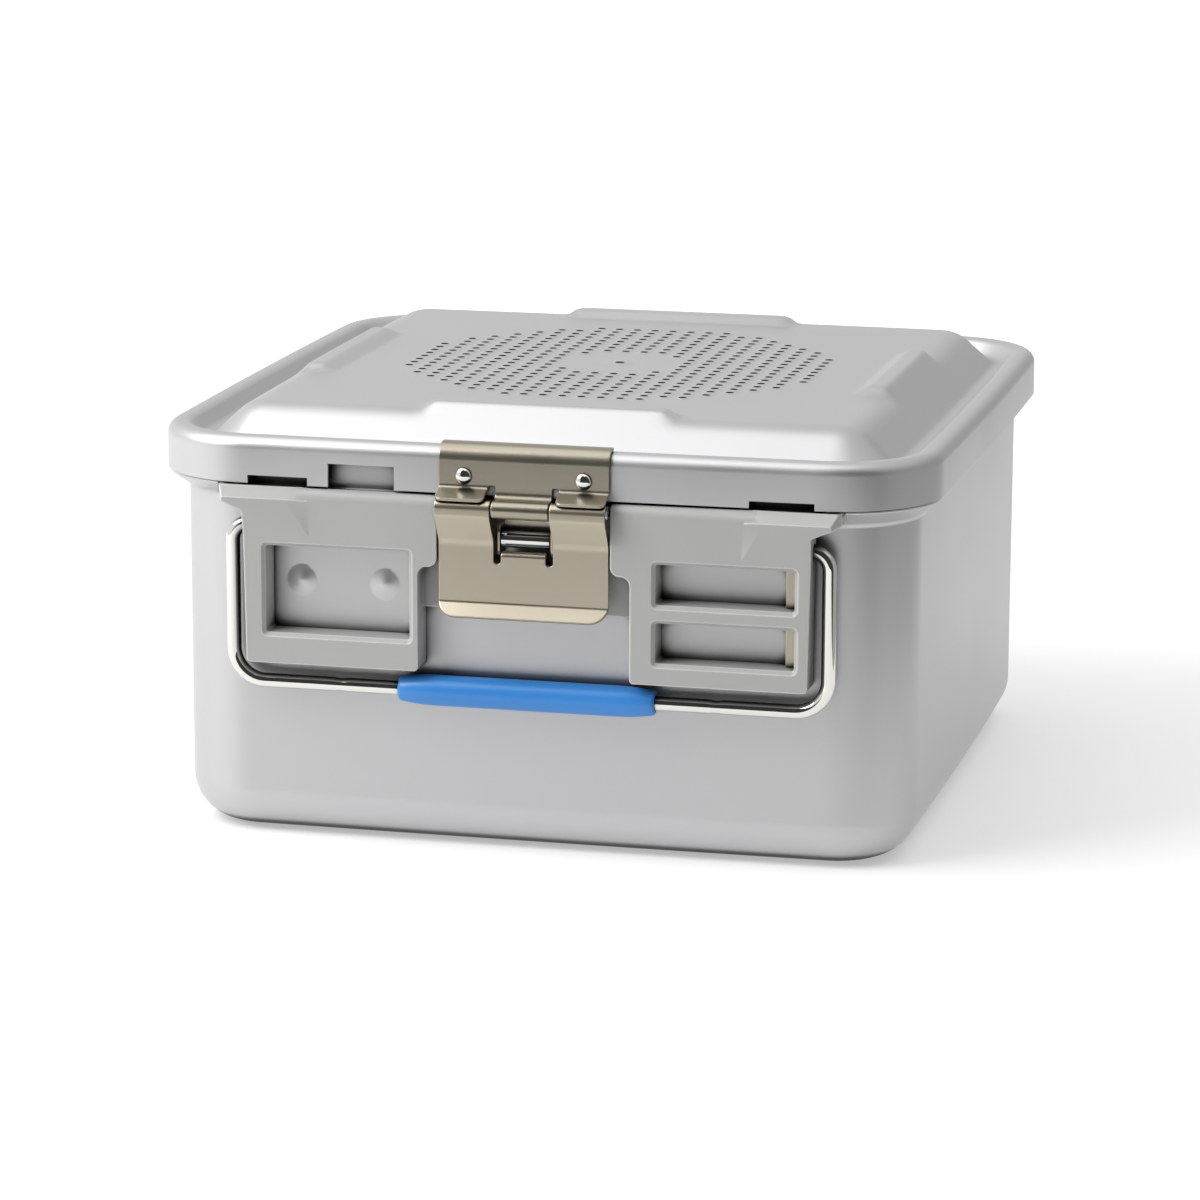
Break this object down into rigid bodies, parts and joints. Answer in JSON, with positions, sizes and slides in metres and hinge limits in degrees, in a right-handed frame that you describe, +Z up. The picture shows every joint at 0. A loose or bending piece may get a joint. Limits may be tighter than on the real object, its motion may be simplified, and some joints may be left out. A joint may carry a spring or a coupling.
{
  "type": "sterilization container",
  "caption": "Metal sterilization container with a perforated domed lid, snap latches, label frames and swinging wire handles with blue grips.",
  "frame": {"origin": "centre of the flat underside", "axes": "+Z up, -Y towards the front face with the single label window on its left, +X to the right"},
  "size_m": [0.3, 0.321, 0.166],
  "materials": {
    "anodised": "satin",
    "moulding": "satin",
    "latch_steel": "fine brushed",
    "polished_steel": "polished",
    "blue_grip": "satin",
    "seal": "matt",
    "filter_paper": "matt"
  },
  "bodies": {
    "base": {"container_body": "anodised", "front_handle_plate": "moulding", "front_catch_bracket": "latch_steel", "front_catch_roller": "polished_steel", "front_plate_rivet_1": "polished_steel", "front_plate_rivet_2": "polished_steel", "front_plate_rivet_3": "polished_steel", "front_plate_rivet_4": "polished_steel", "front_bracket_rivet_1": "polished_steel", "front_bracket_rivet_2": "polished_steel", "rear_handle_plate": "moulding", "rear_catch_bracket": "latch_steel", "rear_catch_roller": "polished_steel", "rear_plate_rivet_1": "polished_steel", "rear_plate_rivet_2": "polished_steel", "rear_plate_rivet_3": "polished_steel", "rear_plate_rivet_4": "polished_steel", "rear_bracket_rivet_1": "polished_steel", "rear_bracket_rivet_2": "polished_steel"},
    "lid": {"lid_shell": "anodised", "lid_gasket": "seal", "lid_stud": "polished_steel", "front_latch_plate": "latch_steel", "front_latch_pin": "polished_steel", "front_latch_rivet_1": "polished_steel", "front_latch_rivet_2": "polished_steel", "rear_latch_plate": "latch_steel", "rear_latch_pin": "polished_steel", "rear_latch_rivet_1": "polished_steel", "rear_latch_rivet_2": "polished_steel"},
    "filter_set": {"filter_retainer": "anodised", "retainer_knob": "latch_steel", "filter_disc": "filter_paper"},
    "front_lever": {"front_latch_lever": "latch_steel"},
    "front_handle": {"front_handle_wire": "polished_steel", "front_handle_grip": "blue_grip"},
    "rear_lever": {"rear_latch_lever": "latch_steel"},
    "rear_handle": {"rear_handle_wire": "polished_steel", "rear_handle_grip": "blue_grip"}
  },
  "joints": [
    {"name": "lid_lift", "type": "slide", "parent": "base", "child": "lid", "axis": [0, 0, 1], "range_m": [0, 0.2]},
    {"name": "filter_pull", "type": "slide", "parent": "lid", "child": "filter_set", "axis": [0, 0, -1], "range_m": [0, 0.03]},
    {"name": "front_latch_open", "type": "hinge", "parent": "lid", "child": "front_lever", "pos_m": [0, -0.1566, 0.1338], "axis": [-1, 0, 0], "range_deg": [0, 70]},
    {"name": "front_handle_swing", "type": "hinge", "parent": "base", "child": "front_handle", "pos_m": [0, -0.1476, 0.1225], "axis": [-1, 0, 0], "range_deg": [0, 105]},
    {"name": "rear_latch_open", "type": "hinge", "parent": "lid", "child": "rear_lever", "pos_m": [0, 0.1566, 0.1338], "axis": [1, 0, 0], "range_deg": [0, 70]},
    {"name": "rear_handle_swing", "type": "hinge", "parent": "base", "child": "rear_handle", "pos_m": [0, 0.1476, 0.1225], "axis": [1, 0, 0], "range_deg": [0, 105]}
  ]
}
